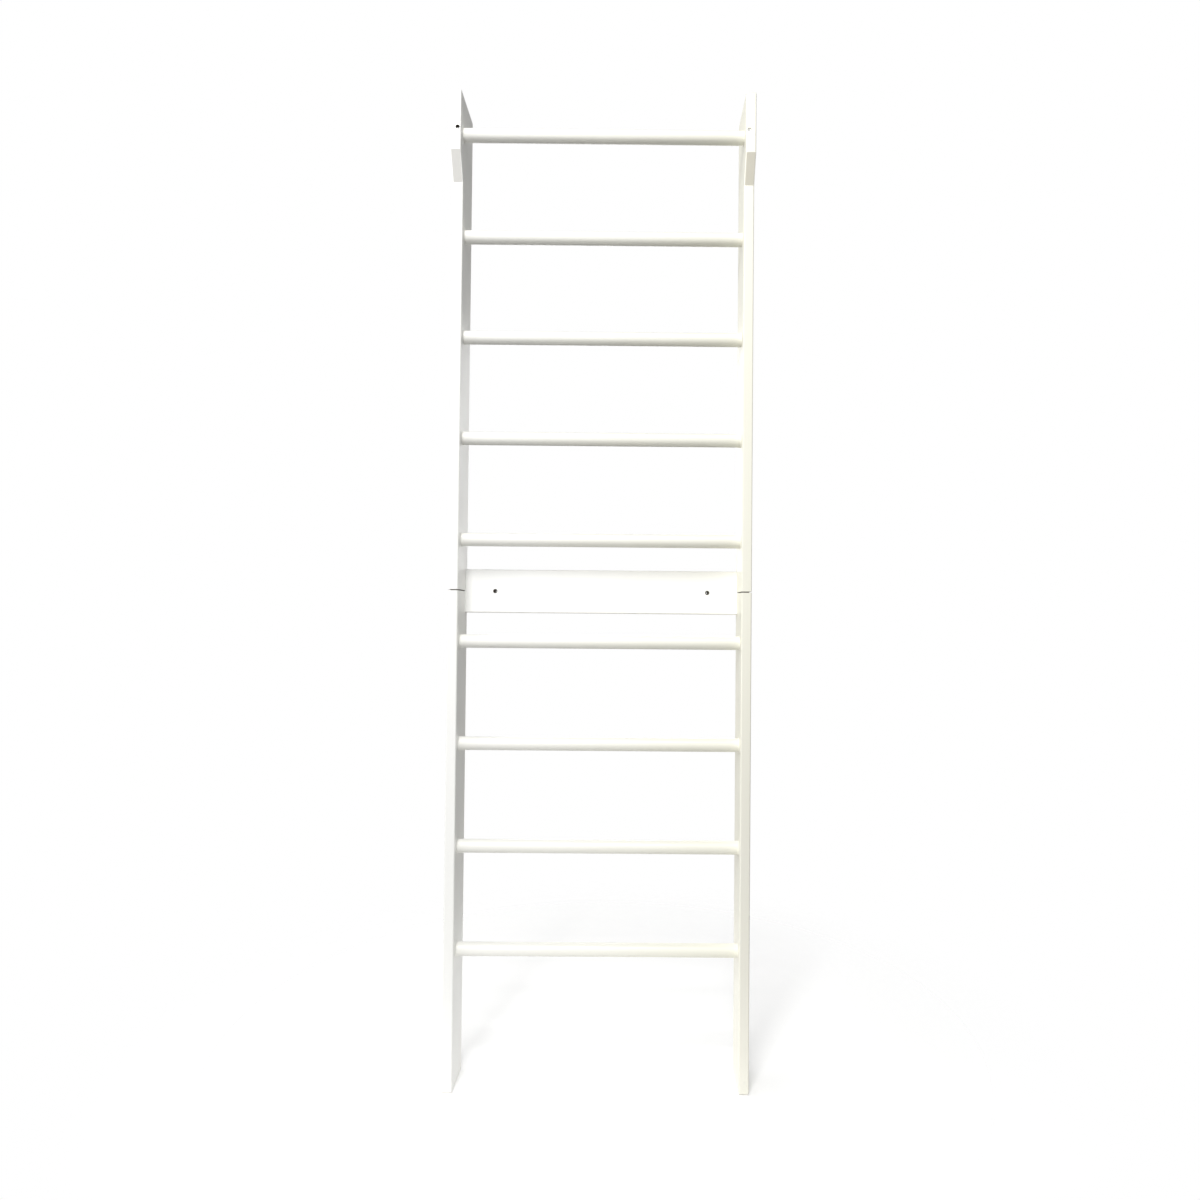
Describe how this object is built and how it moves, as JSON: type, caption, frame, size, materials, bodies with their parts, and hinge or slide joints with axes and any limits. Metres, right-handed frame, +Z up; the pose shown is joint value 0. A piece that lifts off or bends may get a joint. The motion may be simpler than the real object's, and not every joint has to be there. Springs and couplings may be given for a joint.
{
  "type": "wall ladder rack",
  "caption": "Tall white-painted wooden ladder rack for quilts and blankets: flat side boards jointed at mid-height, round rungs, a projecting top rung and a board for wall screws.",
  "frame": {"origin": "On the floor, at the middle of the footprint: halfway between the two side boards, and halfway between the front of the heads and the wall side.", "axes": "+X to the right as seen from the front, +Y towards the wall, +Z up"},
  "size_m": [0.559, 0.114, 1.832],
  "materials": {
    "white_painted_wood": "satin white paint over smooth wood",
    "painted_screw": "white paint over a countersunk steel screw",
    "dowel_wood": "bare wood"
  },
  "bodies": {
    "root": {"left_lower_stile": "white_painted_wood", "right_lower_stile": "white_painted_wood", "left_upper_stile": "white_painted_wood", "right_upper_stile": "white_painted_wood", "rung_1": "white_painted_wood", "rung_2": "white_painted_wood", "rung_3": "white_painted_wood", "rung_4": "white_painted_wood", "rung_5": "white_painted_wood", "rung_6": "white_painted_wood", "rung_7": "white_painted_wood", "rung_8": "white_painted_wood", "rung_9": "white_painted_wood", "wall_board": "white_painted_wood", "left_head_screw": "painted_screw", "right_head_screw": "painted_screw", "left_upper_board_screw": "painted_screw", "left_lower_board_screw": "painted_screw", "right_upper_board_screw": "painted_screw", "right_lower_board_screw": "painted_screw", "left_seam_dowel": "dowel_wood", "right_seam_dowel": "dowel_wood"}
  },
  "joints": []
}
